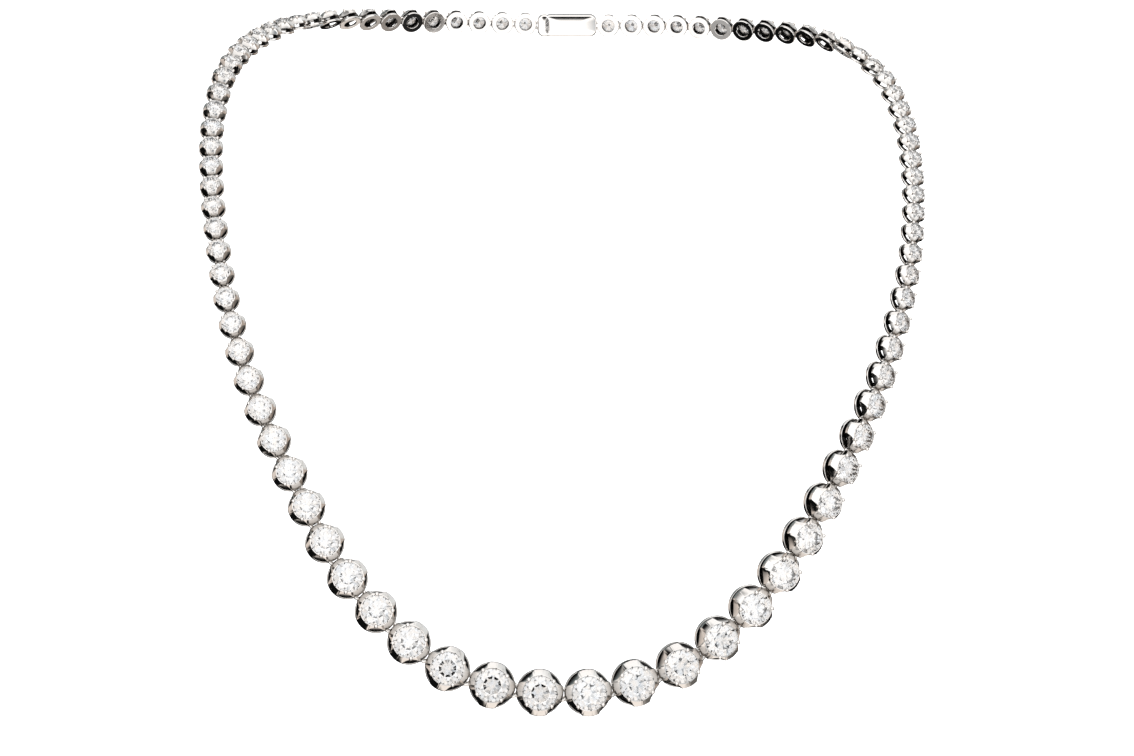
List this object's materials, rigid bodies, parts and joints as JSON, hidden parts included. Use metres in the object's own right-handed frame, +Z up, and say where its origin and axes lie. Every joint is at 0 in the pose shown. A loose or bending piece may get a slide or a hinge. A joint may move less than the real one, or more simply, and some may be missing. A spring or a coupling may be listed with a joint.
{
  "type": "riviere necklace",
  "caption": "Graduated riviere necklace: round brilliants in claw settings, each linked to the next by a soldered ring, in its worn form as a whole loop with a plain clasp at the nape.",
  "frame": {"origin": "the nape: the middle of the clasp's flat face that lies against the neck, where the loop is held when it is worn", "axes": "+Z up, +Y from the wearer's front to the nape and on out of the back, +X to the right for someone who faces the wearer; the stones of the front face -Y"},
  "size_m": [0.126, 0.1074, 0.1101],
  "materials": {
    "white_gold": "mirror polished white gold",
    "diamond": "polished brilliant-cut diamond"
  },
  "bodies": {
    "root": {"setting_left_9": "white_gold", "setting_left_8": "white_gold", "setting_left_7": "white_gold", "setting_left_6": "white_gold", "setting_left_5": "white_gold", "setting_left_4": "white_gold", "setting_left_3": "white_gold", "setting_left_2": "white_gold", "setting_left_1": "white_gold", "setting_centre": "white_gold", "setting_right_1": "white_gold", "setting_right_2": "white_gold", "setting_right_3": "white_gold", "setting_right_4": "white_gold", "setting_right_5": "white_gold", "setting_right_6": "white_gold", "setting_right_7": "white_gold", "setting_right_8": "white_gold", "setting_right_9": "white_gold", "stone_left_9": "diamond", "stone_left_8": "diamond", "stone_left_7": "diamond", "stone_left_6": "diamond", "stone_left_5": "diamond", "stone_left_4": "diamond", "stone_left_3": "diamond", "stone_left_2": "diamond", "stone_left_1": "diamond", "stone_centre": "diamond", "stone_right_1": "diamond", "stone_right_2": "diamond", "stone_right_3": "diamond", "stone_right_4": "diamond", "stone_right_5": "diamond", "stone_right_6": "diamond", "stone_right_7": "diamond", "stone_right_8": "diamond", "stone_right_9": "diamond", "left_settings": "white_gold", "right_settings": "white_gold", "left_stones": "diamond", "right_stones": "diamond", "clasp": "white_gold"}
  },
  "joints": []
}
